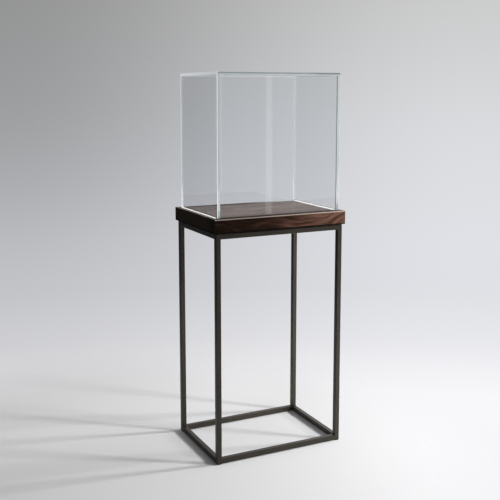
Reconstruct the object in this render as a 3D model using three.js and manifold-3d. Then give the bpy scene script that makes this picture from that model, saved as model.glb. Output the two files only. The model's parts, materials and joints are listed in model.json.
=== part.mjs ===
// Pedestal display case: a bonded glass bonnet that lifts off a walnut deck, on a stand of welded
// square tube. Millimetres, +Z up, the front looks towards -Y, left is -X. The origin is on the
// floor, under the middle of the deck.
import * as THREE from "three";
import { mergeVertices } from "three/addons/utils/BufferGeometryUtils.js";
import Module from "manifold-3d";

const wasm = await Module();
wasm.setup();

// Stand: four posts and two rings of rails in one size of square steel tube.
const STAND_WIDTH = 525;
const STAND_DEPTH = 365;
const STAND_FRAME_HEIGHT = 857;
const TUBE_SIZE = 19;
const TUBE_WALL = 1.5;
const TUBE_CORNER_RADIUS = 2;
const TUBE_BORE_RADIUS = 0.5;

// Glides: ribbed nylon plugs pushed up into the posts, each with a thin foot under the tube.
const GLIDE_FOOT_THICKNESS = 3;
const GLIDE_FOOT_INSET = 0.6;
const GLIDE_FOOT_CHAMFER = 1;
const GLIDE_PLUG_LENGTH = 15;
const GLIDE_CORE_SIZE = 11.5;
const GLIDE_CORE_CHAMFER = 1;
const GLIDE_RIB_COUNT = 3;
const GLIDE_RIB_THICKNESS = 1.2;
const GLIDE_RIB_CLEARANCE = 0.3;
const GLIDE_RIB_CORNER_RADIUS = 1.2;

// Corner plates: gussets welded on top of the upper ring. They cap the posts, hold the deck off
// the tubes so that a shadow gap shows, and take the screws.
const PLATE_THICKNESS = 3;
const PLATE_LEG = 80;
const PLATE_EDGE_INSET = 2.5;
const PLATE_CORNER_TRIM = 3;
const PLATE_SLOT_FROM_CORNER = 36;
const PLATE_SLOT_LENGTH = 13;

// Screws up through the corner plates, into threaded inserts in the deck's underside.
const SCREW_SHANK_DIAMETER = 6;
const SCREW_SHANK_LENGTH = 15;
const SCREW_TIP_DIAMETER = 4.2;
const SCREW_TIP_LENGTH = 1;
const SCREW_FLANGE_DIAMETER = 14;
const SCREW_FLANGE_THICKNESS = 1.2;
const SCREW_DOME_DIAMETER = 10.5;
const SCREW_DOME_HEIGHT = 3;
const SCREW_CLEARANCE = 0.3;
const INSERT_DIAMETER = 10;
const INSERT_LENGTH = 13;
const INSERT_CLEARANCE = 0.3;

// Deck: one slab of walnut, its grain along X, with a groove that locates the bonnet.
const DECK_OVERHANG = 8;
const DECK_THICKNESS = 51;
const DECK_EDGE_CHAMFER = 0.9;
const GROOVE_DEPTH = 5.5;
const GROOVE_CLEARANCE = 1;

// Cushion strips lie in the groove under the glass.
const STRIP_THICKNESS = 1.5;
const STRIP_CLEARANCE = 0.3;

// Bonnet: five polished panes, bonded edge to face.
const BONNET_INSET = 19;
const BONNET_HEIGHT = 520;
const GLASS_THICKNESS = 10;
const GLASS_ARRIS = 0.8;
const BOND_LINE = 0.3;

// Facets: along a quarter turn of a small rounded corner, and round a screw.
const CORNER_FACETS = 4;
const SCREW_FACETS = 20;
const SCREW_DOME_RINGS = 4;

// Heights and outlines that follow from the sizes above.
const frameBottom = GLIDE_FOOT_THICKNESS;
const frameTop = frameBottom + STAND_FRAME_HEIGHT;
const deckUnderside = frameTop + PLATE_THICKNESS;
const deckTop = deckUnderside + DECK_THICKNESS;
const deckWidth = STAND_WIDTH + 2 * DECK_OVERHANG;
const deckDepth = STAND_DEPTH + 2 * DECK_OVERHANG;
const grooveFloor = deckTop - GROOVE_DEPTH;
const bonnetWidth = deckWidth - 2 * BONNET_INSET;
const bonnetDepth = deckDepth - 2 * BONNET_INSET;
const bonnetBottom = grooveFloor + STRIP_THICKNESS;
const tubeBore = TUBE_SIZE - 2 * TUBE_WALL;

const CORNERS = [
  { name: "front_left", x: -1, y: -1 },
  { name: "front_right", x: 1, y: -1 },
  { name: "rear_right", x: 1, y: 1 },
  { name: "rear_left", x: -1, y: 1 },
];

const finishes = {
  bronze: { color: 0x2c2721, roughness: 0.45, metalness: 0.6 },
  plateSteel: { color: 0x25221e, roughness: 0.55, metalness: 0.5 },
  nylon: { color: 0x141414, roughness: 0.6, metalness: 0 },
  zinc: { color: 0x3a3a3a, roughness: 0.4, metalness: 0.9 },
  brass: { color: 0xb08d45, roughness: 0.35, metalness: 1 },
  walnut: { color: 0x4b3226, roughness: 0.42, metalness: 0 },
  silicone: { color: 0xd9dedd, roughness: 0.5, metalness: 0 },
  glass: { color: 0xe6efed, roughness: 0.03, metalness: 0 },
};

const displayCase = new THREE.Group();

function addPiece(name, geometry, finish, position) {
  const mesh = new THREE.Mesh(geometry, new THREE.MeshStandardMaterial(finishes[finish]));
  mesh.name = name;
  mesh.position.set(...position);
  displayCase.add(mesh);
}

// A rectangle centred on the origin, its corners rounded when a radius is given.
function traceRectangle(path, width, height, radius = 0) {
  const x = width / 2;
  const y = height / 2;
  if (radius === 0) {
    path.moveTo(-x, -y);
    path.lineTo(x, -y);
    path.lineTo(x, y);
    path.lineTo(-x, y);
    path.closePath();
    return path;
  }
  path.moveTo(-x + radius, -y);
  path.lineTo(x - radius, -y);
  path.absarc(x - radius, -y + radius, radius, -Math.PI / 2, 0);
  path.lineTo(x, y - radius);
  path.absarc(x - radius, y - radius, radius, 0, Math.PI / 2);
  path.lineTo(-x + radius, y);
  path.absarc(-x + radius, y - radius, radius, Math.PI / 2, Math.PI);
  path.lineTo(-x, -y + radius);
  path.absarc(-x + radius, -y + radius, radius, Math.PI, 1.5 * Math.PI);
  return path;
}

// A closed outline through corner points, each corner rounded off by the same trim.
function traceTrimmedOutline(path, corners, trim) {
  const towards = (from, to) => from.clone().add(to.clone().sub(from).setLength(trim));
  corners.forEach((corner, i) => {
    const before = corners[(i + corners.length - 1) % corners.length];
    const after = corners[(i + 1) % corners.length];
    const start = towards(corner, before);
    const end = towards(corner, after);
    if (i === 0) path.moveTo(start.x, start.y);
    else path.lineTo(start.x, start.y);
    path.quadraticCurveTo(corner.x, corner.y, end.x, end.y);
  });
  path.closePath();
  return path;
}

// three.js gives an arc twice as many facets as curveSegments says.
function extrude(shape, depth, arcFacets = CORNER_FACETS) {
  return new THREE.ExtrudeGeometry(shape, { depth, bevelEnabled: false, curveSegments: arcFacets / 2 });
}

// A box from z = 0 up, every edge taken off by the same chamfer.
function chamferedSlab(width, depth, height, chamfer) {
  const outline = traceRectangle(new THREE.Shape(), width, depth);
  const slab = new THREE.ExtrudeGeometry(outline, {
    depth: height - 2 * chamfer,
    bevelThickness: chamfer,
    bevelSize: chamfer,
    bevelOffset: -chamfer,
    bevelSegments: 1,
  });
  return slab.translate(0, 0, chamfer);
}

function solidOf(geometry) {
  const bare = geometry.clone();
  bare.deleteAttribute("normal");
  bare.deleteAttribute("uv");
  const merged = mergeVertices(bare);
  return new wasm.Manifold(new wasm.Mesh({
    numProp: 3,
    vertProperties: new Float32Array(merged.attributes.position.array),
    triVerts: new Uint32Array(merged.index.array),
  }));
}

function geometryOf(solid) {
  const { vertProperties, triVerts } = solid.getMesh();
  const geometry = new THREE.BufferGeometry();
  geometry.setAttribute("position", new THREE.BufferAttribute(vertProperties, 3));
  geometry.setIndex(new THREE.BufferAttribute(triVerts, 1));
  return geometry;
}

// A disc or bar standing on z = 0.
function cylinder(diameter, height) {
  const round = new THREE.CylinderGeometry(diameter / 2, diameter / 2, height, SCREW_FACETS);
  return round.rotateX(Math.PI / 2).translate(0, 0, height / 2);
}

// Square tube standing on z = 0, open at both ends.
function squareTube(length) {
  const section = traceRectangle(new THREE.Shape(), TUBE_SIZE, TUBE_SIZE, TUBE_CORNER_RADIUS);
  section.holes.push(traceRectangle(new THREE.Path(), tubeBore, tubeBore, TUBE_BORE_RADIUS));
  return extrude(section, length);
}

function addPosts() {
  const x = (STAND_WIDTH - TUBE_SIZE) / 2;
  const y = (STAND_DEPTH - TUBE_SIZE) / 2;
  for (const corner of CORNERS) {
    const place = [corner.x * x, corner.y * y, frameBottom];
    addPiece(`post_${corner.name}`, squareTube(STAND_FRAME_HEIGHT), "bronze", place);
  }
}

// One ring of four rails, butted between the posts and flush with their outer faces.
function addRailRing(level, height) {
  const alongX = STAND_WIDTH - 2 * TUBE_SIZE;
  const alongY = STAND_DEPTH - 2 * TUBE_SIZE;
  const x = (STAND_WIDTH - TUBE_SIZE) / 2;
  const y = (STAND_DEPTH - TUBE_SIZE) / 2;
  for (const [side, sign] of [["front", -1], ["rear", 1]]) {
    const rail = squareTube(alongX).translate(0, 0, -alongX / 2).rotateY(Math.PI / 2);
    addPiece(`${level}_rail_${side}`, rail, "bronze", [0, sign * y, height]);
  }
  for (const [side, sign] of [["left", -1], ["right", 1]]) {
    const rail = squareTube(alongY).translate(0, 0, -alongY / 2).rotateX(Math.PI / 2);
    addPiece(`${level}_rail_${side}`, rail, "bronze", [sign * x, 0, height]);
  }
}

// The foot is chamfered all round and cut off flat at the top, where the tube stands on it.
function glideFoot() {
  const size = TUBE_SIZE - 2 * GLIDE_FOOT_INSET;
  const foot = chamferedSlab(size, size, 2 * GLIDE_FOOT_THICKNESS, GLIDE_FOOT_CHAMFER);
  const above = new THREE.BoxGeometry(TUBE_SIZE, TUBE_SIZE, TUBE_SIZE);
  above.translate(0, 0, GLIDE_FOOT_THICKNESS + TUBE_SIZE / 2);
  return solidOf(foot).subtract(solidOf(above));
}

function glideGeometry() {
  let glide = glideFoot();
  const rooted = GLIDE_PLUG_LENGTH + GLIDE_FOOT_THICKNESS / 2;
  const core = chamferedSlab(GLIDE_CORE_SIZE, GLIDE_CORE_SIZE, rooted, GLIDE_CORE_CHAMFER);
  core.translate(0, 0, GLIDE_FOOT_THICKNESS / 2);
  glide = glide.add(solidOf(core));
  const ribSize = tubeBore - 2 * GLIDE_RIB_CLEARANCE;
  const ribPitch = GLIDE_PLUG_LENGTH / (GLIDE_RIB_COUNT + 1);
  for (let i = 1; i <= GLIDE_RIB_COUNT; i += 1) {
    const outline = traceRectangle(new THREE.Shape(), ribSize, ribSize, GLIDE_RIB_CORNER_RADIUS);
    const rib = extrude(outline, GLIDE_RIB_THICKNESS);
    rib.translate(0, 0, GLIDE_FOOT_THICKNESS + i * ribPitch);
    glide = glide.add(solidOf(rib));
  }
  return geometryOf(glide);
}

function addGlides() {
  const x = (STAND_WIDTH - TUBE_SIZE) / 2;
  const y = (STAND_DEPTH - TUBE_SIZE) / 2;
  for (const corner of CORNERS) {
    addPiece(`glide_${corner.name}`, glideGeometry(), "nylon", [corner.x * x, corner.y * y, 0]);
  }
}

// A gusset in the corner's own axes: its outer corner on the origin, its legs along the rails.
// The slot runs front to back, across the grain, so the deck can swell and shrink.
function cornerPlateGeometry(corner) {
  const strip = TUBE_SIZE - PLATE_EDGE_INSET;
  const inward = (x, y) => new THREE.Vector2(-corner.x * x, -corner.y * y);
  const outline = traceTrimmedOutline(new THREE.Shape(), [
    inward(0, 0),
    inward(PLATE_LEG, 0),
    inward(PLATE_LEG, strip),
    inward(strip, PLATE_LEG),
    inward(0, PLATE_LEG),
  ], PLATE_CORNER_TRIM);
  const slotRadius = SCREW_SHANK_DIAMETER / 2 + SCREW_CLEARANCE;
  const reach = PLATE_SLOT_LENGTH / 2 - slotRadius;
  const centre = inward(PLATE_SLOT_FROM_CORNER, PLATE_SLOT_FROM_CORNER);
  const slot = new THREE.Path();
  slot.absarc(centre.x, centre.y + reach, slotRadius, 0, Math.PI);
  slot.absarc(centre.x, centre.y - reach, slotRadius, Math.PI, 2 * Math.PI);
  outline.holes.push(slot);
  return extrude(outline, PLATE_THICKNESS, SCREW_FACETS / 2);
}

// Where a plate's outer corner is, and where the screw through its slot is.
function plateCorner(corner) {
  const x = STAND_WIDTH / 2 - PLATE_EDGE_INSET;
  const y = STAND_DEPTH / 2 - PLATE_EDGE_INSET;
  return [corner.x * x, corner.y * y];
}

function screwAxis(corner) {
  const [x, y] = plateCorner(corner);
  return [x - corner.x * PLATE_SLOT_FROM_CORNER, y - corner.y * PLATE_SLOT_FROM_CORNER];
}

function addCornerPlates() {
  for (const corner of CORNERS) {
    const plate = cornerPlateGeometry(corner);
    addPiece(`corner_plate_${corner.name}`, plate, "plateSteel", [...plateCorner(corner), frameTop]);
  }
}

// A flanged dome-head screw: z = 0 is the underside of its flange, the shank points up.
function screwGeometry() {
  const shank = SCREW_SHANK_DIAMETER / 2;
  const dome = SCREW_DOME_DIAMETER / 2;
  const domeBase = -SCREW_FLANGE_THICKNESS;
  const profile = [new THREE.Vector2(0, domeBase - SCREW_DOME_HEIGHT)];
  for (let i = 1; i <= SCREW_DOME_RINGS; i += 1) {
    const angle = (i / SCREW_DOME_RINGS) * (Math.PI / 2);
    profile.push(new THREE.Vector2(
      dome * Math.sin(angle),
      domeBase - SCREW_DOME_HEIGHT * Math.cos(angle),
    ));
  }
  profile.push(new THREE.Vector2(SCREW_FLANGE_DIAMETER / 2, domeBase));
  profile.push(new THREE.Vector2(SCREW_FLANGE_DIAMETER / 2, 0));
  profile.push(new THREE.Vector2(shank, 0));
  profile.push(new THREE.Vector2(shank, SCREW_SHANK_LENGTH - SCREW_TIP_LENGTH));
  profile.push(new THREE.Vector2(SCREW_TIP_DIAMETER / 2, SCREW_SHANK_LENGTH));
  profile.push(new THREE.Vector2(0, SCREW_SHANK_LENGTH));
  return new THREE.LatheGeometry(profile, SCREW_FACETS).rotateX(Math.PI / 2);
}

function insertGeometry() {
  const bore = SCREW_SHANK_DIAMETER + 2 * SCREW_CLEARANCE;
  const ring = new THREE.Shape();
  ring.absarc(0, 0, INSERT_DIAMETER / 2, 0, 2 * Math.PI);
  const hole = new THREE.Path();
  hole.absarc(0, 0, bore / 2, 0, 2 * Math.PI);
  ring.holes.push(hole);
  return extrude(ring, INSERT_LENGTH, SCREW_FACETS);
}

function addFixings() {
  for (const corner of CORNERS) {
    const [x, y] = screwAxis(corner);
    addPiece(`deck_screw_${corner.name}`, screwGeometry(), "zinc", [x, y, frameTop]);
    addPiece(`threaded_insert_${corner.name}`, insertGeometry(), "brass", [x, y, deckUnderside]);
  }
}

// The ring in which the bonnet stands, widened by an allowance on both of its sides.
function bonnetRing(allowance, height) {
  const inset = 2 * GLASS_THICKNESS;
  const ring = traceRectangle(
    new THREE.Shape(),
    bonnetWidth + 2 * allowance,
    bonnetDepth + 2 * allowance,
  );
  ring.holes.push(traceRectangle(
    new THREE.Path(),
    bonnetWidth - inset - 2 * allowance,
    bonnetDepth - inset - 2 * allowance,
  ));
  return extrude(ring, height);
}

function addDeck() {
  const slab = chamferedSlab(deckWidth, deckDepth, DECK_THICKNESS, DECK_EDGE_CHAMFER);
  slab.translate(0, 0, deckUnderside);
  const groove = bonnetRing(GROOVE_CLEARANCE, 2 * GROOVE_DEPTH).translate(0, 0, grooveFloor);
  let deck = solidOf(slab).subtract(solidOf(groove));
  const boreDepth = Math.max(INSERT_LENGTH, SCREW_SHANK_LENGTH - PLATE_THICKNESS) + INSERT_CLEARANCE;
  for (const corner of CORNERS) {
    const bore = cylinder(INSERT_DIAMETER + 2 * INSERT_CLEARANCE, 2 * boreDepth);
    bore.translate(...screwAxis(corner), deckUnderside - boreDepth);
    deck = deck.subtract(solidOf(bore));
  }
  addPiece("walnut_deck", geometryOf(deck), "walnut", [0, 0, 0]);
}

function addCushionStrips() {
  const width = GLASS_THICKNESS + 2 * (GROOVE_CLEARANCE - STRIP_CLEARANCE);
  const alongX = bonnetWidth + 2 * (GROOVE_CLEARANCE - STRIP_CLEARANCE);
  const alongY = bonnetDepth - 2 * GLASS_THICKNESS - 2 * GROOVE_CLEARANCE;
  const x = (bonnetWidth - GLASS_THICKNESS) / 2;
  const y = (bonnetDepth - GLASS_THICKNESS) / 2;
  for (const [side, sign] of [["front", -1], ["rear", 1]]) {
    const strip = new THREE.BoxGeometry(alongX, width, STRIP_THICKNESS);
    strip.translate(0, 0, STRIP_THICKNESS / 2);
    addPiece(`cushion_strip_${side}`, strip, "silicone", [0, sign * y, grooveFloor]);
  }
  for (const [side, sign] of [["left", -1], ["right", 1]]) {
    const strip = new THREE.BoxGeometry(width, alongY, STRIP_THICKNESS);
    strip.translate(0, 0, STRIP_THICKNESS / 2);
    addPiece(`cushion_strip_${side}`, strip, "silicone", [sign * x, 0, grooveFloor]);
  }
}

// The side panes run the full depth, the front and rear panes stand between them, and the top
// pane covers all four.
function addBonnet() {
  const wallHeight = BONNET_HEIGHT - GLASS_THICKNESS - BOND_LINE;
  const betweenSides = bonnetWidth - 2 * (GLASS_THICKNESS + BOND_LINE);
  const x = (bonnetWidth - GLASS_THICKNESS) / 2;
  const y = (bonnetDepth - GLASS_THICKNESS) / 2;
  for (const [side, sign] of [["front", -1], ["rear", 1]]) {
    const pane = chamferedSlab(betweenSides, GLASS_THICKNESS, wallHeight, GLASS_ARRIS);
    addPiece(`pane_${side}`, pane, "glass", [0, sign * y, bonnetBottom]);
  }
  for (const [side, sign] of [["left", -1], ["right", 1]]) {
    const pane = chamferedSlab(GLASS_THICKNESS, bonnetDepth, wallHeight, GLASS_ARRIS);
    addPiece(`pane_${side}`, pane, "glass", [sign * x, 0, bonnetBottom]);
  }
  const top = chamferedSlab(bonnetWidth, bonnetDepth, GLASS_THICKNESS, GLASS_ARRIS);
  addPiece("pane_top", top, "glass", [0, 0, bonnetBottom + BONNET_HEIGHT - GLASS_THICKNESS]);
}

addPosts();
addRailRing("lower", frameBottom + TUBE_SIZE / 2);
addRailRing("upper", frameTop - TUBE_SIZE / 2);
addGlides();
addCornerPlates();
addFixings();
addDeck();
addCushionStrips();
addBonnet();

export default displayCase;
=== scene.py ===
import json
import math

import bmesh
import bpy
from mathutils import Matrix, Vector


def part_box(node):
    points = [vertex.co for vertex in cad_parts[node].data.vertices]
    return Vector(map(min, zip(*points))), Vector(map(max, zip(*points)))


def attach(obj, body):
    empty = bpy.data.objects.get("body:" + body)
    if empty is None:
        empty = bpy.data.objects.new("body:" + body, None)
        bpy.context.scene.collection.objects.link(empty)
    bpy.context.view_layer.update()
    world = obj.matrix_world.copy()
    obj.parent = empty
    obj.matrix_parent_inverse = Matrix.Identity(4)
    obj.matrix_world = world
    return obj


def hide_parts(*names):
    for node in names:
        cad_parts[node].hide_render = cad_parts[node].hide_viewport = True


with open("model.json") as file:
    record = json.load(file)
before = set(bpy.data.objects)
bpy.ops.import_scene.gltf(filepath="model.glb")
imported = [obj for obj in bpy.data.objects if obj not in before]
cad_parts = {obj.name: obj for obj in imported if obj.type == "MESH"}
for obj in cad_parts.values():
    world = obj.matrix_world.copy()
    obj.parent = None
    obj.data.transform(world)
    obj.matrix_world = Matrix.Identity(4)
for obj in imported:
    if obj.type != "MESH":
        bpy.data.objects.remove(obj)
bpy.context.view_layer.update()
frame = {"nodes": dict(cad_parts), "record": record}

# ---------------------------------------------------------------- sizes, from the frame, in metres
MM = 0.001
CORNERS = ("front_left", "front_right", "rear_right", "rear_left")
DECK_LOW, DECK_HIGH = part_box("walnut_deck")
POST_LOW, POST_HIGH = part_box("post_front_left")
SCREW_LOW, SCREW_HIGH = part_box("deck_screw_front_left")
STRIP_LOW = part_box("cushion_strip_front")[0]
TOP_LOW, TOP_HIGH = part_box("pane_top")
SIDE_LOW, SIDE_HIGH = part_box("pane_right")
FRONT_LOW, FRONT_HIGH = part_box("pane_front")
PLATE_LOW, PLATE_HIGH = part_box("corner_plate_front_left")
TUBE = POST_HIGH.x - POST_LOW.x
GLASS = SIDE_HIGH.x - SIDE_LOW.x
BOND_LINE = SIDE_LOW.x - FRONT_HIGH.x

# Screws: a flanged dome head with a hexagon socket, on a threaded shank.
FLANGE_THICKNESS = 1.2 * MM
DOME_DIAMETER = 10.5 * MM
SHANK_DIAMETER = 6 * MM
SOCKET_ACROSS_CORNERS = 4.6 * MM
SOCKET_DEPTH = 2.0 * MM
THREAD_PITCH = 1.0 * MM
THREAD_DEPTH = 0.45 * MM
SOCKET_CHAMFER = 0.30 * MM
FLANGE_EDGE = 0.25 * MM
THREAD_STARTS = 0.5 * MM
TIP_LENGTH = 1.0 * MM

# Welds: a rippled bead round the end of each rail.
BEAD_RADIUS = 1.15 * MM
BEAD_INSET = 1.1 * MM
BEAD_PITCH = 1.3 * MM
BEAD_CORNER = 1.6 * MM
BEAD_RIPPLE = 0.09
BEAD_STEPS = 4
BEAD_FROM_END = 0.1 * MM

# Foam tape on the upper rails, under the deck.
TAPE_WIDTH = 12 * MM
TAPE_PLAY = 0.2 * MM
TAPE_FROM_PLATE = 0.5 * MM
TAPE_SOFTENING = 0.5 * MM

# Foot gasket: two thin lips of silicone that stand up out of the groove, either side of the glass.
LIP_THICKNESS = 0.75 * MM
LIP_PROUD = 2.3 * MM
LIP_FROM_GLASS = 0.12 * MM
LIP_CORNER = 1.0 * MM

# Bond seams: the cured adhesive between the panes.
SEAM_THICKNESS = 0.14 * MM
SEAM_SETBACK = 0.9 * MM

# The four sides of the stand, with the axis along which each one's rails run, and the corners of a
# square in order.
SIDES = (("front", 0), ("rear", 0), ("left", 1), ("right", 1))
SQUARE = ((-1, -1), (1, -1), (1, 1), (-1, 1))

# The photograph's camera: where it stands, which way it looks, how long its lens is and how far
# the lens is shifted down, which keeps the posts nearly upright.
CAMERA_PLACE = Vector((-1.45471, -2.87262, 1.36203))
CAMERA_YAW = 0.45799
CAMERA_PITCH = 0.13973
CAMERA_SHIFT = -0.08
FOCAL_PIXELS = 843.3
PHOTO_PIXELS = 500
SENSOR_WIDTH = 36.0


# ---------------------------------------------------------------- building node trees
class Value:
    """A number at a socket. Sums, products and powers of it add Math nodes."""

    def __init__(self, maker, socket):
        self.maker = maker
        self.socket = socket

    def math(self, operation, *given):
        node = self.maker.node("ShaderNodeMath", {"operation": operation}, dict(enumerate(given)))
        return Value(self.maker, node.outputs[0])

    def __add__(self, other):
        return self.math("ADD", self, other)

    def __radd__(self, other):
        return self.math("ADD", other, self)

    def __sub__(self, other):
        return self.math("SUBTRACT", self, other)

    def __rsub__(self, other):
        return self.math("SUBTRACT", other, self)

    def __mul__(self, other):
        return self.math("MULTIPLY", self, other)

    def __rmul__(self, other):
        return self.math("MULTIPLY", other, self)

    def __truediv__(self, other):
        return self.math("DIVIDE", self, other)

    def __pow__(self, other):
        return self.math("POWER", self, other)

    def __abs__(self):
        return self.math("ABSOLUTE", self)

    def most(self, other):
        return self.math("MAXIMUM", self, other)

    def between(self, low, high, to_low=0.0, to_high=1.0, how="SMOOTHSTEP"):
        """to_low at low, to_high at high, level outside."""
        inputs = {"Value": self, "From Min": low, "From Max": high, "To Min": to_low, "To Max": to_high}
        node = self.maker.node("ShaderNodeMapRange", {"interpolation_type": how}, inputs)
        return Value(self.maker, node.outputs["Result"])


class Nodes:
    """A node tree with one method that adds any node."""

    def __init__(self, tree):
        self.tree = tree
        self.tree.nodes.clear()

    def node(self, kind, settings=None, inputs=None):
        node = self.tree.nodes.new(kind)
        for key, value in (settings or {}).items():
            if key == "stops":
                self.set_stops(node.color_ramp, value)
            else:
                setattr(node, key, value)
        for key, value in (inputs or {}).items():
            self.feed(node.inputs[key], value)
        return node

    @staticmethod
    def set_stops(ramp, stops):
        while len(ramp.elements) < len(stops):
            ramp.elements.new(0.5)
        for element, (place, colour) in zip(ramp.elements, stops):
            element.position = place
            element.color = (*colour, 1.0)

    def feed(self, socket, value):
        if isinstance(value, Value):
            self.tree.links.new(value.socket, socket)
        elif isinstance(value, bpy.types.NodeSocket):
            self.tree.links.new(value, socket)
        elif isinstance(value, tuple) and socket.type == "RGBA":
            socket.default_value = (*value, 1.0)
        else:
            socket.default_value = value

    def value(self, socket):
        return Value(self, socket)

    def vector(self, x=0.0, y=0.0, z=0.0):
        return self.node("ShaderNodeCombineXYZ", inputs={"X": x, "Y": y, "Z": z}).outputs[0]


class Finish(Nodes):
    """The nodes of a material, or of the world."""

    def __init__(self, name, world=None):
        self.data = world or bpy.data.materials.new(name)
        self.data.use_nodes = True
        super().__init__(self.data.node_tree)

    def object_place(self):
        return self.node("ShaderNodeTexCoord").outputs["Object"]

    def parts(self, vector):
        split = self.node("ShaderNodeSeparateXYZ", inputs={"Vector": vector})
        return [Value(self, out) for out in split.outputs]

    def facing(self):
        """How far the bare face looks along X, Y and Z, either way."""
        normal = self.node("ShaderNodeNewGeometry").outputs["True Normal"]
        return [abs(part) for part in self.parts(normal)]

    def stretched(self, vector, scale, offset=(0, 0, 0)):
        inputs = {"Vector": vector, "Scale": scale, "Location": offset}
        return self.node("ShaderNodeMapping", inputs=inputs).outputs[0]

    def noise(self, vector, scale=1.0, detail=2.0, rough=0.5):
        inputs = {"Vector": vector, "Scale": scale, "Detail": detail, "Roughness": rough}
        return self.value(self.node("ShaderNodeTexNoise", inputs=inputs).outputs["Fac"])

    def ramp(self, factor, stops):
        return self.node("ShaderNodeValToRGB", {"stops": stops}, {"Fac": factor}).outputs["Color"]

    def blend(self, factor, first, second, how="MIX"):
        """One colour from two, by a Mix node."""
        node = self.node("ShaderNodeMix", {"data_type": "RGBA", "blend_type": how})
        self.feed(node.inputs["Factor"], factor)
        colours = [socket for socket in node.inputs if socket.type == "RGBA"]
        self.feed(colours[0], first)
        self.feed(colours[1], second)
        return next(socket for socket in node.outputs if socket.type == "RGBA")

    def times(self, colour, level):
        """A colour made lighter or darker by a number."""
        return self.blend(1.0, colour, self.vector(level, level, level), "MULTIPLY")

    def bump(self, height, strength, distance):
        inputs = {"Height": height, "Strength": strength, "Distance": distance}
        return self.node("ShaderNodeBump", inputs=inputs).outputs["Normal"]

    def principled(self, **inputs):
        named = {key.replace("_", " "): value for key, value in inputs.items()}
        return self.node("ShaderNodeBsdfPrincipled", inputs=named).outputs["BSDF"]

    def mix(self, factor, first, second):
        return self.node("ShaderNodeMixShader", inputs={"Fac": factor, 1: first, 2: second}).outputs[0]

    def clear(self, colour=(1.0, 1.0, 1.0)):
        return self.node("ShaderNodeBsdfTransparent", inputs={"Color": colour}).outputs[0]

    def background(self, colour, strength=1.0):
        inputs = {"Color": colour, "Strength": strength}
        return self.node("ShaderNodeBackground", inputs=inputs).outputs[0]

    def looked_at(self):
        """Two numbers: 1 where the lens sees this straight or through glass, and 1 where it is
        seen in a reflection."""
        path = self.node("ShaderNodeLightPath")
        straight = self.value(path.outputs["Is Camera Ray"]).most(path.outputs["Is Transmission Ray"])
        return straight, self.value(path.outputs["Is Glossy Ray"])

    def surface(self, shader):
        self.node("ShaderNodeOutputMaterial", inputs={"Surface": shader})
        return self.data


# ---------------------------------------------------------------- finishes
WALNUT_TONES = (
    (0.00, (0.0065, 0.0035, 0.0025)),
    (0.25, (0.020, 0.0095, 0.0062)),
    (0.45, (0.062, 0.0290, 0.0195)),
    (0.65, (0.138, 0.0680, 0.0470)),
    (0.82, (0.210, 0.1100, 0.0780)),
    (1.00, (0.300, 0.1750, 0.1250)),
)
DIP_X = 0.07
PITH_Y = 0.055
PITH_Z = 0.78
END_GRAIN_TONES = ((0.0, (0.030, 0.023, 0.015)), (1.0, (0.155, 0.118, 0.079)))
# a painted highlight along the deck's upper arris
PAINTED_ARRIS_HIGHLIGHT = (0.52, 0.44, 0.39)
# a painted shadow under the deck
PAINTED_SHADOW_TONE = (0.004, 0.003, 0.002)


def growth_rings(f, place):
    """Broad, middling and fine rings, and the sway that they share with the streaks. They lie round
    a pith that runs along X below the slab and dips at DIP_X, so they sweep down and up along the
    long faces and arch on top."""
    x, y, z = f.parts(place)
    sway = f.noise(f.stretched(place, (3.6, 1.1, 1.1), (3.7, 0.4, 1.7)), detail=1.0) - 0.5
    ripple = f.noise(f.stretched(place, (11.0, 7.0, 7.0), (9.3, 4.4, 2.2)), detail=1.0) - 0.5
    dip = ((x - DIP_X) * (x - DIP_X) + 0.003) ** 0.5
    across = y - PITH_Y + sway * 0.10
    above = z - PITH_Z - dip * 0.17 + sway * 0.07 + ripple * 0.014
    ring = (across * across + above * above) ** 0.5
    turn = across.math("ARCTAN2", across, above)
    broad = f.noise(f.vector(x * 3.0, ring * 135.0, turn * 1.4), detail=1.0)
    bands = f.noise(f.vector(x * 9.0 + 4.0, ring * 340.0, turn * 3.0), detail=2.0, rough=0.6)
    lines = f.noise(f.vector(x * 12.0, ring * 1300.0, turn * 8.0), detail=2.0)
    return broad, bands, lines, sway


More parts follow.
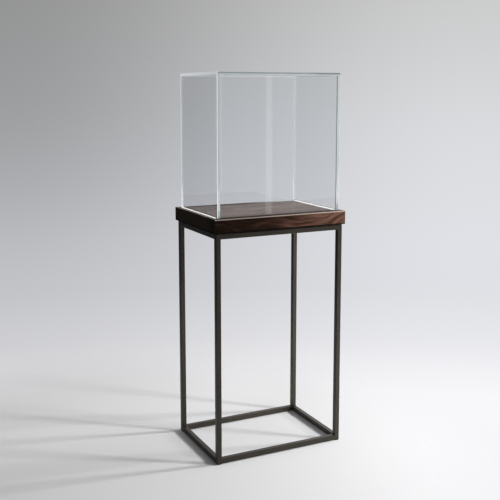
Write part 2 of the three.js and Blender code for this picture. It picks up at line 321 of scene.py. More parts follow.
def walnut():
    """Satin oiled walnut with a polished top, a painted highlight along the upper arris, painted shade
    at the left of the front, and a painted shadow that makes the bottom and the edge above it almost
    black."""
    f = Finish("walnut")
    place = f.object_place()
    x, y, z = f.parts(place)
    broad, bands, lines, sway = growth_rings(f, place)
    streaks = f.noise(f.vector(x * 1.8, y * 20.0, z * 46.0 + sway * 2.0), detail=1.0)
    fibres = f.noise(f.stretched(place, (16.0, 850.0, 850.0)), detail=2.0)
    pores = f.noise(f.stretched(place, (160.0, 2200.0, 2200.0)), detail=1.0).between(0.60, 0.70)
    tone = 0.5 + (broad - 0.5) * 0.60 + (bands - 0.5) * 1.05 + (lines - 0.5) * 0.45
    tone = tone + (fibres - 0.5) * 0.22 - pores * 0.07

    facing = f.facing()
    end_grain = facing[0].between(0.50, 0.80)
    top = facing[2].between(0.75, 0.95) * z.between(DECK_LOW.z + 20 * MM, DECK_LOW.z + 30 * MM)
    front = y.between(-0.10, -0.19)
    # painted shade: darkens the wood towards its left end, mostly on the front face, away from the lamps
    left_front_shade = (x + (broad - 0.5) * 0.12).between(0.22, -0.18) * (front * 0.9 + 0.1)
    tone = tone + (streaks - 0.5) * 0.9 * top
    tone = (tone - 0.30) * (1.0 - end_grain * 0.6) + 0.44 - end_grain * 0.10
    tone = tone - left_front_shade * (0.27 + tone * 0.30) + top * 0.14 + (1.0 - left_front_shade) * (1.0 - top) * 0.04

    colour = f.ramp(tone, WALNUT_TONES)
    # painted highlight: the long faces are painted pale just below the top edge
    arris = z.between(DECK_HIGH.z - 4.0 * MM, DECK_HIGH.z - 2.6 * MM) * (1.0 - top) * (1.0 - end_grain)
    colour = f.blend(arris * (0.90 - left_front_shade * 0.25), colour, PAINTED_ARRIS_HIGHLIGHT)
    colour = f.blend(end_grain * 0.75, colour, f.ramp(tone, END_GRAIN_TONES))
    # painted shadow: the underside and the lowest few millimetres of the deck's sides go almost black
    underside_shadow = z.between(DECK_LOW.z + 5.2 * MM, DECK_LOW.z + 3.6 * MM)
    colour = f.blend(underside_shadow * 0.85, colour, PAINTED_SHADOW_TONE)
    rough = 0.42 + bands * 0.10 + pores * 0.15 + end_grain * 0.12 + (streaks - 0.5) * top * 0.25
    height = fibres * 0.35 + lines * 0.25 - pores * 0.6
    shader = f.principled(
        Base_Color=colour,
        Roughness=rough,
        Normal=f.bump(height, 0.12, 0.0003),
        IOR=1.12,
        Coat_Weight=top * (0.30 + streaks * 0.30),
        Coat_Roughness=0.03,
    )
    return f.surface(shader)


def bronze_paint():
    """Satin dark bronze powder coat on steel: fine orange peel and a trace of metal flake. Painted light
    makes it a little paler low down and towards the rear right."""
    f = Finish("bronze powder coat")
    place = f.object_place()
    peel = f.noise(place, scale=620.0, detail=2.0)
    flake = f.noise(place, scale=5200.0, detail=1.0)
    mottle = f.noise(place, scale=9.0, detail=3.0)
    x, y, z = f.parts(place)
    # painted light: paler low down and towards the rear right, darker high up and at the front left
    painted_light_gradient = (x + y * 1.4 - z * 0.5).between(-0.9, 0.5, -0.28, 0.32, how="LINEAR")
    tone = mottle * 0.45 + flake * 0.35 + 0.10 + painted_light_gradient
    colour = f.ramp(tone, ((0.25, (0.034, 0.0285, 0.0210)), (0.75, (0.064, 0.0545, 0.0420))))
    rough = 0.33 + mottle * 0.10 + flake * 0.06
    shader = f.principled(
        Base_Color=colour,
        Metallic=0.45,
        Roughness=rough,
        Normal=f.bump(peel, 0.12, 0.0003),
    )
    return f.surface(shader)


def black_nylon():
    """Moulded black nylon with a fine grain."""
    f = Finish("black nylon")
    place = f.object_place()
    grain = f.noise(place, scale=1400.0, detail=3.0)
    cloud = f.noise(place, scale=90.0, detail=2.0)
    colour = f.ramp(cloud, ((0.3, (0.010, 0.010, 0.010)), (0.7, (0.022, 0.021, 0.020))))
    shader = f.principled(
        Base_Color=colour,
        Roughness=0.48 + grain * 0.15,
        Normal=f.bump(grain, 0.25, 0.0002),
    )
    return f.surface(shader)


def black_zinc():
    """Black zinc plate, a little clouded."""
    f = Finish("black zinc")
    place = f.object_place()
    cloud = f.noise(place, scale=260.0, detail=3.0)
    colour = f.ramp(cloud, ((0.3, (0.045, 0.047, 0.052)), (0.7, (0.11, 0.105, 0.10))))
    shader = f.principled(
        Base_Color=colour,
        Metallic=0.9,
        Roughness=0.30 + cloud * 0.18,
        Normal=f.bump(cloud, 0.08, 0.0002),
    )
    return f.surface(shader)


def turned_brass():
    """Brass with the fine rings that a lathe tool leaves."""
    f = Finish("turned brass")
    place = f.object_place()
    x, y, z = f.parts(place)
    turning = f.noise(f.vector(x * 20.0, y * 20.0, z * 4000.0), detail=1.0)
    colour = f.ramp(turning, ((0.2, (0.38, 0.24, 0.075)), (0.8, (0.56, 0.37, 0.13))))
    shader = f.principled(
        Base_Color=colour,
        Metallic=1.0,
        Roughness=0.24 + turning * 0.16,
        Normal=f.bump(turning, 0.1, 0.0001),
    )
    return f.surface(shader)


def clear_silicone():
    """Milky silicone rubber."""
    f = Finish("clear silicone")
    place = f.object_place()
    cloud = f.noise(place, scale=300.0, detail=2.0)
    colour = f.ramp(cloud, ((0.3, (0.78, 0.82, 0.82)), (0.7, (0.90, 0.92, 0.92))))
    shader = f.principled(
        Base_Color=colour,
        Roughness=0.30 + cloud * 0.14,
        Transmission_Weight=0.3,
        IOR=1.41,
    )
    return f.surface(shader)


def seal_silicone():
    """The lip round the foot of the glass, with painted light and shade. A painted glow makes it
    brightest at the right and on the outer left side, faint along the inner left side and the rear, and
    next to nothing along the front, where painted shade makes it dark brown like the wood behind it."""
    f = Finish("silicone seal")
    place = f.object_place()
    x, y = f.parts(place)[:2]
    cloud = f.noise(place, scale=300.0, detail=2.0)
    front_inside = GLASS - TOP_HIGH.y
    rear_inside = -front_inside
    left_inside = -SIDE_LOW.x
    outer_left = x.between(left_inside - 3 * MM, left_inside - 1 * MM, 1.0, 0.2)
    # painted glow and shade: lit sets both how pale the lip is painted and how much it glows
    lit = y.between(front_inside + 1 * MM, front_inside + 7 * MM) * 0.9 + cloud * 0.1
    lit = lit * outer_left.most(x.between(0.0, 0.2, 0.2, 1.25))
    lit = lit * y.between(rear_inside - 5 * MM, rear_inside - 1 * MM, 1.0, 0.35).most(outer_left)
    shader = f.principled(
        Base_Color=f.ramp(lit, ((0.1, (0.10, 0.075, 0.060)), (0.9, (0.80, 0.82, 0.82)))),
        Roughness=0.30 + cloud * 0.14,
        Emission_Color=f.ramp(lit, (
            (0.08, (0.0, 0.0, 0.0)), (0.72, (0.60, 0.605, 0.61)), (0.95, (0.95, 0.955, 0.96)),
        )),
        Emission_Strength=1.0,
        IOR=1.41,
    )
    return f.surface(shader)


# painted glow for the ground glass edges
PAINTED_EDGE_GLOW = (
    (0.00, (0.02, 0.025, 0.027)),
    (0.25, (0.09, 0.095, 0.10)),
    (0.60, (0.34, 0.35, 0.36)),
    (1.00, (0.90, 0.91, 0.93)),
)


def clear_glass(name, axis, middle, piping=1.0):
    """Low-iron glass. The two wide faces look along axis and lie GLASS / 2 either side of middle. The
    narrow faces are ground: milky and a little green. They are paler along their arrises, partly from
    the frosted grinding and partly as a painted highlight, and on the top pane a painted highlight makes
    the lower half of the edge and all of its left one paler. A painted glow lies on the pale rims and,
    most of all, on the edges that lie away from the lamps, which are the left and rear ones. On the
    upright panes it is strongest near the foot, and piping scales it. Lamps shine through the glass, so
    that what stands inside is lit."""
    f = Finish(name)
    place = f.object_place()
    parts = f.parts(place)
    x, y, z = parts
    facing = f.facing()
    narrow = facing[axis].between(0.97, 0.90)
    leftmost = (0.0 - x).between(TOP_HIGH.x - 3 * MM, TOP_HIGH.x - 1 * MM)
    rearmost = y.between(0.06, TOP_HIGH.y - 4 * MM, 0.0, 0.95)
    downstream = (leftmost * y.between(-TOP_HIGH.y, 0.10, 0.85, 0.95)).most(rearmost)
    if axis == 2:
        deep = (0.20, 0.235, 0.24)
        rim = (z - middle).between(GLASS * 0.05, -GLASS * 0.25).most(leftmost)
    else:
        deep = (0.40, 0.45, 0.45)
        arris = facing[0].most(facing[1]).most(facing[2]).between(0.95, 0.85)
        depth = abs(abs(parts[axis]) - middle) / (GLASS / 2)
        rim = depth.between(0.70, 0.90).most(arris) * facing[2].between(0.5, 0.8, 1.0, 0.3)
        downstream = downstream * facing[2].between(0.5, 0.8, 1.0, 0.45)
    foot = z.between(FRONT_LOW.z + 0.13, FRONT_LOW.z, 1.0, 1.9)
    smear = f.noise(place, scale=5.0, detail=4.0, rough=0.6)
    grinding = f.noise(place, scale=900.0, detail=2.0)
    wide = f.principled(
        Base_Color=(0.936, 0.948, 0.957),
        Roughness=(smear - 0.48).most(0.0) * 0.02,
        Transmission_Weight=1.0,
        IOR=1.5,
    )
    ground = f.principled(
        Base_Color=f.ramp(rim, ((0.0, deep), (1.0, (0.56, 0.59, 0.60)))),
        Roughness=0.30 + grinding * 0.25,
        Transmission_Weight=0.25,
        IOR=1.5,
        # painted glow on the ground edges
        Emission_Color=f.ramp((rim * 0.25 + downstream * 0.75) * foot * piping, PAINTED_EDGE_GLOW),
        Emission_Strength=1.0,
    )
    seen = f.mix(narrow * (0.70 + rim * 0.24), wide, ground)
    path = f.node("ShaderNodeLightPath")
    lit_through = f.value(path.outputs["Is Shadow Ray"]).most(path.outputs["Is Diffuse Ray"])
    return f.surface(f.mix(lit_through, seen, f.clear((0.95, 0.97, 0.965))))


def bond_adhesive():
    """Cured adhesive: clear, with a milky cast along the joint and a faint painted glow."""
    f = Finish("bond adhesive")
    place = f.object_place()
    cloud = f.noise(place, scale=120.0, detail=3.0)
    colour = f.ramp(cloud, ((0.3, (0.86, 0.90, 0.90)), (0.7, (0.95, 0.97, 0.97))))
    milky = f.principled(
        Base_Color=colour,
        Roughness=0.35,
        IOR=1.5,
        # painted glow
        Emission_Color=(0.10, 0.105, 0.11),
        Emission_Strength=1.0,
    )
    return f.surface(f.mix(0.16 + cloud * 0.2, f.clear((0.95, 0.97, 0.97)), milky))


# ---------------------------------------------------------------- geometry nodes
class Grower(Nodes):
    """A geometry tree with named sizes, run once on a source mesh to give a plain mesh."""

    def __init__(self, name, sizes):
        self.group = bpy.data.node_groups.new(name, "GeometryNodeTree")
        super().__init__(self.group)
        face = self.group.interface
        face.new_socket(name="Source", in_out="INPUT", socket_type="NodeSocketGeometry")
        self.sizes = dict(sizes)
        for label, amount in self.sizes.items():
            kind = "NodeSocketInt" if isinstance(amount, int) else "NodeSocketFloat"
            face.new_socket(name=label, in_out="INPUT", socket_type=kind)
        face.new_socket(name="Grown", in_out="OUTPUT", socket_type="NodeSocketGeometry")
        self.given = self.node("NodeGroupInput")
        self.source = self.given.outputs["Source"]

    def size(self, label):
        return self.value(self.given.outputs[label])

    def extrude_flat(self, path, width, height, lift, softening, steps):
        """A flat section with soft corners, drawn along a path that is lifted first."""
        lifted = self.node("GeometryNodeTransform", inputs={
            "Geometry": path, "Translation": self.vector(z=lift),
        })
        section = self.node("GeometryNodeCurvePrimitiveQuadrilateral", inputs={
            "Width": width, "Height": height,
        })
        soft = self.node("GeometryNodeFilletCurve", {"mode": "POLY"}, {
            "Curve": section.outputs[0], "Count": steps, "Radius": softening,
        })
        swept = self.node("GeometryNodeCurveToMesh", inputs={
            "Curve": lifted.outputs[0], "Profile Curve": soft.outputs[0], "Fill Caps": True,
        })
        return swept.outputs[0]

    def grow(self, name, source, geometry, finish):
        """Ends the tree, runs it on the source mesh and returns the plain object."""
        real = self.node("GeometryNodeRealizeInstances", inputs={"Geometry": geometry})
        dressed = self.node(
            "GeometryNodeSetMaterial",
            inputs={"Geometry": real.outputs[0], "Material": finish},
        )
        self.node("NodeGroupOutput", inputs={"Grown": dressed.outputs[0]})
        seed = add_object(name + "_source", source)
        modifier = seed.modifiers.new(name, "NODES")
        modifier.node_group = self.group
        for item in self.group.interface.items_tree:
            if item.in_out == "INPUT" and item.name in self.sizes:
                modifier[item.identifier] = self.sizes[item.name]
        bpy.context.view_layer.update()
        evaluated = seed.evaluated_get(bpy.context.evaluated_depsgraph_get())
        mesh = bpy.data.meshes.new_from_object(evaluated)
        mesh.name = name
        bpy.data.objects.remove(seed)
        return add_object(name, mesh)


def add_object(name, mesh):
    piece = bpy.data.objects.new(name, mesh)
    bpy.context.scene.collection.objects.link(piece)
    return piece


def mesh_from(name, shape):
    """A mesh from a bmesh, its faces, if it has any, pointing outwards."""
    bmesh.ops.recalc_face_normals(shape, faces=shape.faces)
    mesh = bpy.data.meshes.new(name)
    shape.to_mesh(mesh)
    shape.free()
    return mesh


def add_loop(shape, points):
    """A closed loop of edges."""
    made = [shape.verts.new(point) for point in points]
    for i, vertex in enumerate(made):
        shape.edges.new((vertex, made[(i + 1) % len(made)]))


def join_rings(shape, rings):
    """Quads between rings of points, one ring after another, with both ends closed."""
    made = [[shape.verts.new(point) for point in ring] for ring in rings]
    for lower, upper in zip(made, made[1:]):
        for i in range(len(lower)):
            j = (i + 1) % len(lower)
            shape.faces.new((lower[i], lower[j], upper[j], upper[i]))
    shape.faces.new(made[0][::-1])
    shape.faces.new(made[-1])


# ---------------------------------------------------------------- screws under the deck
SCREW_SIDES = 48
SOCKET_SIDES = 6
DOME_STEPS = 8
STEPS_PER_TURN = 6


def around(radius, height, sides=SCREW_SIDES):
    """A level ring of points."""
    turns = [2 * math.pi * i / sides for i in range(sides)]
    return [Vector((radius * math.cos(t), radius * math.sin(t), height)) for t in turns]


def hexagon(across, height):
    """A hexagon with as many points as the round rings, so that the two can be joined."""
    per_side = SCREW_SIDES // SOCKET_SIDES
    corners = around(across / 2, height, SOCKET_SIDES)
    ring = []
    for i, corner in enumerate(corners):
        following = corners[(i + 1) % SOCKET_SIDES]
        ring += [corner.lerp(following, k / per_side) for k in range(per_side)]
    return ring


def thread_ring(height, phase):
    """One ring of a threaded shank: its radius swings between root and crest once round."""
    ring = around(SHANK_DIAMETER / 2, height)
    for i, point in enumerate(ring):
        turn = (i / SCREW_SIDES + phase) % 1.0
        crest = 1 - abs(2 * turn - 1)
        shrink = 1 - (1 - crest) * THREAD_DEPTH / (SHANK_DIAMETER / 2)
        point.x *= shrink
        point.y *= shrink
    return ring


def head_rings():
    """From the drill point under the socket up its sides, out through its chamfered mouth, round the
    dome and over the flange, in to the shank."""
    flange = (SCREW_HIGH.x - SCREW_LOW.x) / 2
    low = SCREW_LOW.z - PLATE_LOW.z
    flat = SOCKET_ACROSS_CORNERS * 0.62
    bulge = DOME_DIAMETER / 2 - flat
    dome_height = -FLANGE_THICKNESS - low
    rings = [
        hexagon(SOCKET_ACROSS_CORNERS * 0.55, low + SOCKET_DEPTH * 1.15),
        hexagon(SOCKET_ACROSS_CORNERS * 0.96, low + SOCKET_DEPTH),
        hexagon(SOCKET_ACROSS_CORNERS, low + SOCKET_CHAMFER),
        hexagon(SOCKET_ACROSS_CORNERS * 1.10, low + 0.02 * MM),
    ]
    for i in range(DOME_STEPS + 1):
        angle = math.pi / 2 * i / DOME_STEPS
        rings.append(around(flat + bulge * math.sin(angle), low + dome_height * (1 - math.cos(angle))))
    return rings + [
        around(flange - FLANGE_EDGE, -FLANGE_THICKNESS),
        around(flange, -FLANGE_THICKNESS + FLANGE_EDGE),
        around(flange, -FLANGE_EDGE * 0.4),
        around(flange - FLANGE_EDGE * 0.4, 0.0),
        around(SHANK_DIAMETER / 2, 0.0),
    ]


def shank_rings():
    """Up the thread to the tapered tip."""
    high = SCREW_HIGH.z - PLATE_LOW.z
    turns = (high - TIP_LENGTH - THREAD_STARTS) / THREAD_PITCH
    rings = []
    for i in range(int(turns * STEPS_PER_TURN) + 1):
        height = THREAD_STARTS + i * THREAD_PITCH / STEPS_PER_TURN
        rings.append(thread_ring(height, i / STEPS_PER_TURN))
    return rings + [around(SHANK_DIAMETER / 2 - TIP_LENGTH * 0.9, high)]


def screw_mesh():
    """z = 0 is where the flange meets the plate. The head hangs below it, the shank points up."""
    shape = bmesh.new()
    join_rings(shape, head_rings() + shank_rings())
    return mesh_from("flanged_screw", shape)


def grow_screws(finish):
    """One screw stood on the four corners of a grid, each turned by its own angle."""
    spread_x = -(SCREW_LOW.x + SCREW_HIGH.x)
    spread_y = -(SCREW_LOW.y + SCREW_HIGH.y)
    g = Grower("screws at the corners", {
        "Spread X": spread_x, "Spread Y": spread_y, "Height": PLATE_LOW.z, "Turn Seed": 7,
    })
    grid = g.node("GeometryNodeMeshGrid", inputs={
        "Size X": g.size("Spread X"), "Size Y": g.size("Spread Y"), "Vertices X": 2, "Vertices Y": 2,
    })
    lifted = g.node("GeometryNodeTransform", inputs={
        "Geometry": grid.outputs["Mesh"], "Translation": g.vector(z=g.size("Height")),
    })
    turn = g.node("FunctionNodeRandomValue", {"data_type": "FLOAT"}, {
        "Min": 0.0, "Max": math.pi / 3, "Seed": g.size("Turn Seed"),
    })
    turn_value = next(out for out in turn.outputs if out.enabled)
    placed = g.node("GeometryNodeInstanceOnPoints", inputs={
        "Points": lifted.outputs[0], "Instance": g.source, "Rotation": g.vector(z=turn_value),
    })
    screws = g.grow("deck_screws", screw_mesh(), placed.outputs[0], finish)
    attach(screws, "stand")
    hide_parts(*(f"deck_screw_{corner}" for corner in CORNERS))


# ---------------------------------------------------------------- welds
def seam_lines():
    """One closed loop of edges round each end of each rail, just inside the rail's faces."""
    shape = bmesh.new()
    reach = TUBE / 2 - BEAD_INSET
    for level in ("lower", "upper"):
        for side, along in SIDES:
            low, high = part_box(f"{level}_rail_{side}")
            for end, inward in ((low[along], 1), (high[along], -1)):
                loop = []
                for a, b in SQUARE:
                    point = (low + high) / 2
                    point[along] = end + inward * BEAD_FROM_END
                    point[1 - along] += a * reach
                    point.z += b * reach
                    loop.append(point)
                add_loop(shape, loop)
    return mesh_from("seam_lines", shape)


def grow_welds(finish):
    """Beads along the seam lines, rippled as the puddle was moved on step by step."""
    g = Grower("weld beads", {
        "Bead Radius": BEAD_RADIUS,
        "Corner Radius": BEAD_CORNER,
        "Step": BEAD_PITCH / BEAD_STEPS,
        "Ripple": BEAD_RIPPLE,
    })
    curve = g.node("GeometryNodeMeshToCurve", inputs={"Mesh": g.source})
    rounded = g.node("GeometryNodeFilletCurve", {"mode": "POLY"}, {
        "Curve": curve.outputs[0], "Count": 4, "Radius": g.size("Corner Radius"),
    })
    steps = g.node("GeometryNodeResampleCurve", {"mode": "LENGTH"}, {
        "Curve": rounded.outputs[0], "Length": g.size("Step"),
    })
    count = g.value(g.node("GeometryNodeInputIndex").outputs[0])
    wave = count.math("SINE", count * (2 * math.pi / BEAD_STEPS))
    radius = g.size("Bead Radius") * (1.0 - g.size("Ripple") + wave * g.size("Ripple"))
    profile = g.node("GeometryNodeCurvePrimitiveCircle", {"mode": "RADIUS"}, {
        "Resolution": 10, "Radius": 1.0,
    })
    bead = g.node("GeometryNodeCurveToMesh", inputs={
        "Curve": steps.outputs[0], "Profile Curve": profile.outputs["Curve"], "Scale": radius,
    })
    welds = g.grow("weld_seams", seam_lines(), bead.outputs[0], finish)
    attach(welds, "stand")


# ---------------------------------------------------------------- foam tape under the deck
def rail_lines():
    """One edge along the middle of each upper rail's top, between the corner plates."""
    shape = bmesh.new()
    reach = (abs(PLATE_HIGH.x + TAPE_FROM_PLATE), abs(PLATE_HIGH.y + TAPE_FROM_PLATE))
    for side, along in SIDES:
        low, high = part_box(f"upper_rail_{side}")
        ends = []
        for sign in (-1, 1):
            point = (low + high) / 2
            point[along] = sign * reach[along]
            point.z = high.z
            ends.append(shape.verts.new(point))
        shape.edges.new(ends)
    return mesh_from("rail_lines", shape)


def grow_tapes(finish):
    """Foam tape that closes the gap between the rails and the deck, set back from their faces."""
    g = Grower("foam tapes", {
        "Tape Width": TAPE_WIDTH,
        "Tape Height": DECK_LOW.z - PLATE_LOW.z - TAPE_PLAY,
        "Soften": TAPE_SOFTENING,
    })
    curve = g.node("GeometryNodeMeshToCurve", inputs={"Mesh": g.source})
    lift = g.size("Tape Height") * 0.5 + TAPE_PLAY / 2
    swept = g.extrude_flat(
        curve.outputs[0], g.size("Tape Width"), g.size("Tape Height"), lift, g.size("Soften"), 3,
    )
    tapes = g.grow("foam_tapes", rail_lines(), swept, finish)
    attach(tapes, "stand")


# ---------------------------------------------------------------- foot gasket
def lip_path(clearance, outer):
    """The rectangle that a lip follows, outside or inside the glass."""
    shape = bmesh.new()
    x = TOP_HIGH.x + clearance if outer else SIDE_LOW.x - clearance
    y = TOP_HIGH.y + clearance if outer else TOP_HIGH.y - GLASS - clearance
    add_loop(shape, [(a * x, b * y, 0.0) for a, b in SQUARE])
    return mesh_from("lip_path", shape)


def grow_gasket(finish, name, outer):
    """A lip drawn along the groove: a flat section with a round top, from the groove's floor up."""
    low = STRIP_LOW.z
    high = DECK_HIGH.z + LIP_PROUD
    away = LIP_FROM_GLASS + LIP_THICKNESS / 2
    g = Grower(name, {
        "Lip Thickness": LIP_THICKNESS,
        "Lip Height": high - low,
        "Floor": low,
        "Corner Radius": LIP_CORNER,
    })
    curve = g.node("GeometryNodeMeshToCurve", inputs={"Mesh": g.source})
    rounded = g.node("GeometryNodeFilletCurve", {"mode": "POLY"}, {
        "Curve": curve.outputs[0], "Count": 5, "Radius": g.size("Corner Radius"),
    })
    thickness = g.size("Lip Thickness")
    height = g.size("Lip Height")
    lift = g.size("Floor") + height * 0.5
    swept = g.extrude_flat(rounded.outputs[0], thickness, height, lift, thickness * 0.45, 4)
    lip = g.grow(name, lip_path(away, outer), swept, finish)
    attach(lip, "stand")


# ---------------------------------------------------------------- bond seams
def add_seam(shape, low, high, thin):
    """A closed sliver of adhesive from low to high, its rim rounded across its thin axis."""
    middle = (low + high) / 2
    half = (high - low) / 2
    axes = [axis for axis in range(3) if axis != thin]
    rounding = half[thin] * 0.6
    rings = []
    for share, pull in ((-1, 1), (-0.5, 0), (0.5, 0), (1, 1)):
        ring = []
        for a, b in SQUARE:
            point = middle.copy()
            point[thin] += share * half[thin]
            point[axes[0]] += a * (half[axes[0]] - pull * rounding)
            point[axes[1]] += b * (half[axes[1]] - pull * rounding)
            ring.append(point)
        rings.append(ring)
    join_rings(shape, rings)


def add_bond_seams(finish):
    """Adhesive between each side pane and the ends of the front and rear panes, and under the top."""
    shape = bmesh.new()
    slack = (BOND_LINE - SEAM_THICKNESS) / 2
    back = SEAM_SETBACK
    for side in (-1, 1):
        inner = FRONT_HIGH.x + slack
        outer = inner + SEAM_THICKNESS
        xs = sorted((side * inner, side * outer))
        for end in (-1, 1):
            ys = sorted((end * (SIDE_HIGH.y - back), end * (SIDE_HIGH.y - GLASS + back)))
            low = Vector((xs[0], ys[0], FRONT_LOW.z + back))
            high = Vector((xs[1], ys[1], FRONT_HIGH.z - back))
            add_seam(shape, low, high, 0)
    z = SIDE_HIGH.z + slack
    for side in (-1, 1):
        xs = sorted((side * (SIDE_HIGH.x - back), side * (SIDE_HIGH.x - GLASS + back)))
        low = Vector((xs[0], SIDE_LOW.y + back, z))
        high = Vector((xs[1], SIDE_HIGH.y - back, z + SEAM_THICKNESS))
        add_seam(shape, low, high, 2)
        ys = sorted((side * (SIDE_HIGH.y - back), side * (SIDE_HIGH.y - GLASS + back)))
        low = Vector((FRONT_LOW.x + back, ys[0], z))
        high = Vector((FRONT_HIGH.x - back, ys[1], z + SEAM_THICKNESS))
        add_seam(shape, low, high, 2)
    mesh = mesh_from("bond_seams", shape)
    mesh.materials.append(finish)
    seams = add_object("bond_seams", mesh)
    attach(seams, "bonnet")


# ---------------------------------------------------------------- dressing the CAD nodes
def dress(finishes):
    """Gives every CAD node but the panes the material of its slot in the record."""
    slot_of = {part["node"]: part["material_slot"] for part in frame["record"]["subparts"]}
    for name, node in frame["nodes"].items():
        if slot_of[name] in finishes:
            node.data.materials.clear()
            node.data.materials.append(finishes[slot_of[name]])


def glaze():
    """Each pane's glass knows which way the pane lies."""
    side = clear_glass("low-iron glass, side panes", 0, (SIDE_LOW.x + SIDE_HIGH.x) / 2)
    front = clear_glass("low-iron glass, front and rear panes", 1, -(FRONT_LOW.y + FRONT_HIGH.y) / 2)
    top = clear_glass("low-iron glass, top pane", 2, (TOP_LOW.z + TOP_HIGH.z) / 2, piping=0.72)
    lies = {"left": side, "right": side, "front": front, "rear": front, "top": top}
    for name, finish in lies.items():
        materials = frame["nodes"]["pane_" + name].data.materials
        materials.clear()
        materials.append(finish)


# ---------------------------------------------------------------- studio
FLOOR_RADIUS = 4.0
FLOOR_TONES = (
    (0.0, (0.93, 0.93, 0.94)), (0.5, (0.85, 0.85, 0.86)), (1.0, (0.71, 0.71, 0.72)),
)
FLOOR_LIFT = ((0.0, (0.0, 0.0, 0.0)), (1.0, (0.09, 0.09, 0.092)))
SHADOWS_MIDDLE = (-0.45, 0.10)
SWEEP_STARTS = 0.60
SWEEP_ENDS = 1.40
SWEEP_RIGHT = (0.896, -0.444)
SWEEP_TONES = (
    (-0.420, (0.825, 0.825, 0.840)),
    (-0.340, (0.850, 0.850, 0.865)),
    (-0.312, (0.805, 0.805, 0.830)),
    (-0.285, (0.740, 0.742, 0.770)),
    (-0.230, (0.668, 0.672, 0.705)),
    (-0.174, (0.645, 0.652, 0.685)),
    (-0.105, (0.600, 0.605, 0.632)),
    (-0.060, (0.572, 0.578, 0.598)),
    (0.000, (0.535, 0.539, 0.552)),
    (0.060, (0.500, 0.503, 0.510)),
    (0.100, (0.480, 0.482, 0.482)),
    (0.140, (0.460, 0.462, 0.462)),
)
SWEEP_LOWEST = SWEEP_TONES[0][0]
SWEEP_HIGHEST = SWEEP_TONES[-1][0]


def rightward(x, y):
    """How far to the right of the photograph's middle something lies."""
    return x * SWEEP_RIGHT[0] + y * SWEEP_RIGHT[1]


def how_far(x, y, middle=(0.0, 0.0)):
    """How far something lies from the middle, over the floor."""
    across = x - middle[0]
    along = y - middle[1]
    return (across * across + along * along) ** 0.5


def floor_finish():
    """Pale floor, palest at the left. It keeps the shadows near the object and gives way to the
    backdrop further out. It throws little light back on the object, least from the left, and behind
    the object at the left the lens sees it a little brighter than the lamps make it."""
    f = Finish("pale floor")
    place = f.object_place()
    x, y = f.parts(place)[:2]
    cloud = f.noise(place, scale=2.2, detail=3.0)
    tone = rightward(x, y).between(-0.9, 0.8, how="LINEAR") * 0.9 + cloud * 0.1
    away = how_far(x, y)
    bounced = f.value(f.node("ShaderNodeLightPath").outputs["Is Diffuse Ray"])
    kept_back = away.between(0.1, 0.5) * x.between(-0.35, 0.45, 0.9, 0.2)
    straight, mirrored = f.looked_at()
    behind_left = y.between(-0.05, 0.45) * rightward(x, y).between(0.25, -0.15)
    plain = f.principled(
        Base_Color=f.blend(bounced * kept_back, f.ramp(tone, FLOOR_TONES), (0.0, 0.0, 0.0)),
        Roughness=0.75,
        IOR=1.3,
        Emission_Color=f.ramp(behind_left * straight, FLOOR_LIFT),
        Emission_Strength=1.0,
    )
    gone = how_far(x, y, SHADOWS_MIDDLE).between(SWEEP_STARTS, SWEEP_ENDS) * straight
    gone = gone.most(away.between(1.4, 3.0) * mirrored)
    return f.surface(f.mix(gone, plain, f.clear()))


def make_floor():
    shape = bmesh.new()
    bmesh.ops.create_circle(shape, cap_ends=True, segments=96, radius=FLOOR_RADIUS)
    floor = add_object("studio_floor", mesh_from("studio_floor", shape))
    floor.data.materials.append(floor_finish())


def make_world():
    """What the lens sees is a pale sweep that darkens upwards and to the left, less to the left low
    down. What glass and polish mirror is that sweep, dark at the left and dim in front, with a sheen
    high at the rear right. What lights the object is plain and dim, stronger from the right, from
    above and from behind."""
    world = bpy.data.worlds.new("studio")
    bpy.context.scene.world = world
    f = Finish("studio", world)
    x, y, z = f.parts(f.node("ShaderNodeTexCoord").outputs["Generated"])
    span = SWEEP_HIGHEST - SWEEP_LOWEST
    stops = tuple(((height - SWEEP_LOWEST) / span, tone) for height, tone in SWEEP_TONES)
    sweep = f.ramp(z.between(SWEEP_LOWEST, SWEEP_HIGHEST, how="LINEAR"), stops)
    side = rightward(x, y).between(-0.30, 0.27, 0.62, 1.26)
    share = z.between(0.0, -0.28, 1.0, 0.42)
    sweep = f.times(sweep, 1.0 + (side - 1.0) * share)
    frontal = y.between(-0.75, 0.0, 0.30, 1.0).most(x.between(0.36, 0.60, 0.0, 0.9))
    dark_side = x.between(-0.55, 0.35, 0.08, 1.0) * frontal
    sheen = z.between(0.18, 0.36) * (x / y).between(0.42, 0.62) * y.between(0.0, 0.2)
    glow = 0.03 + x.between(-0.5, 1.0) * 0.22 + z.between(0.0, 1.0) * 0.13 + y.between(0.0, 1.0) * 0.10

    straight, mirrored = f.looked_at()
    lighting = f.background((1.0, 1.0, 1.0), glow)
    glint = f.background(f.times(sweep, dark_side + sheen * 2.0))
    shown = f.mix(straight, f.mix(mirrored, lighting, glint), f.background(sweep))
    f.node("ShaderNodeOutputWorld", inputs={"Surface": shown})


def make_lamp(name, azimuth, elevation, distance, width, height, power, aim_height, mirrored=False):
    """A soft lamp that looks at the object's middle line. Azimuth 0 is along +X, 90 along +Y. Glass
    and polish show it only where it is mirrored."""
    a, e = math.radians(azimuth), math.radians(elevation)
    back = Vector((math.cos(a) * math.cos(e), math.sin(a) * math.cos(e), math.sin(e)))
    data = bpy.data.lights.new(name, "AREA")
    data.shape = "RECTANGLE"
    data.size = width
    data.size_y = height
    data.energy = power
    lamp = bpy.data.objects.new(name, data)
    lamp.location = Vector((0, 0, aim_height)) + back * distance
    lamp.rotation_mode = "QUATERNION"
    lamp.rotation_quaternion = (-back).to_track_quat("-Z", "Y")
    lamp.visible_camera = False
    lamp.visible_glossy = mirrored
    lamp.visible_transmission = mirrored
    bpy.context.scene.collection.objects.link(lamp)


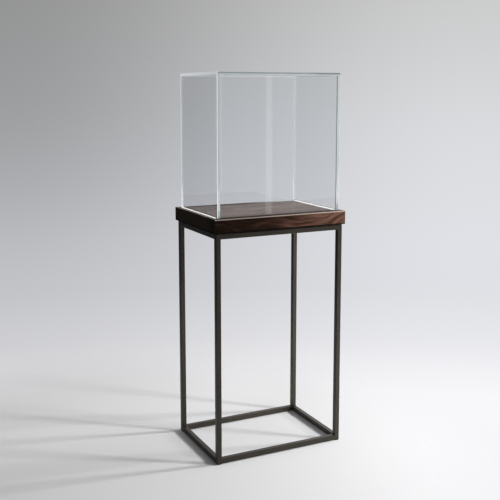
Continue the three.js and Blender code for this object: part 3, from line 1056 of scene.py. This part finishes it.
def make_lamps():
    """Two keys throw the posts' shadows two ways. The low softbox deepens the shadow beside the left
    lower rail, the side softbox fills the front, and the front pane mirrors the strip as a band."""
    key = {"elevation": 28, "distance": 3.6, "width": 0.36, "height": 0.50, "aim_height": 0.4}
    make_lamp("key", azimuth=-14.5, power=74, **key)
    make_lamp("second_key", azimuth=-38, power=65, **key)
    make_lamp(
        "low_softbox", azimuth=-8, elevation=17, distance=2.6,
        width=2.2, height=0.25, power=25, aim_height=0,
    )
    make_lamp(
        "side_softbox", azimuth=-42, elevation=14, distance=1.55,
        width=0.8, height=0.8, power=5.5, aim_height=0.35,
    )
    make_lamp(
        "strip", azimuth=-66.5, elevation=0, distance=1.68,
        width=0.034, height=1.8, power=0.14, aim_height=1.05, mirrored=True,
    )


def make_camera():
    """The photograph's camera, with its lens shifted down."""
    data = bpy.data.cameras.new("photo_camera")
    data.sensor_fit = "HORIZONTAL"
    data.sensor_width = SENSOR_WIDTH
    data.lens = SENSOR_WIDTH * FOCAL_PIXELS / PHOTO_PIXELS
    data.shift_y = CAMERA_SHIFT
    camera = bpy.data.objects.new("photo_camera", data)
    camera.location = CAMERA_PLACE
    level = math.cos(CAMERA_PITCH)
    ahead = Vector((math.sin(CAMERA_YAW) * level, math.cos(CAMERA_YAW) * level, -math.sin(CAMERA_PITCH)))
    camera.rotation_mode = "QUATERNION"
    camera.rotation_quaternion = ahead.to_track_quat("-Z", "Y")
    bpy.context.scene.collection.objects.link(camera)
    bpy.context.scene.camera = camera


# ---------------------------------------------------------------- the scene
make_camera()
bronze = bronze_paint()
zinc = black_zinc()
nylon = black_nylon()
dress({
    "bronze_paint": bronze,
    "black_nylon": nylon,
    "black_zinc": zinc,
    "brass": turned_brass(),
    "walnut": walnut(),
    "clear_silicone": clear_silicone(),
})
glaze()
grow_screws(zinc)
grow_welds(bronze)
grow_tapes(nylon)
seal = seal_silicone()
grow_gasket(seal, "gasket_outer_lip", True)
grow_gasket(seal, "gasket_inner_lip", False)
add_bond_seams(bond_adhesive())
make_floor()
make_world()
make_lamps()

scene = bpy.context.scene
scene.view_settings.view_transform = "Standard"
scene.cycles.max_bounces = 32
scene.cycles.glossy_bounces = 32
scene.cycles.transmission_bounces = 32
scene.cycles.transparent_max_bounces = 24
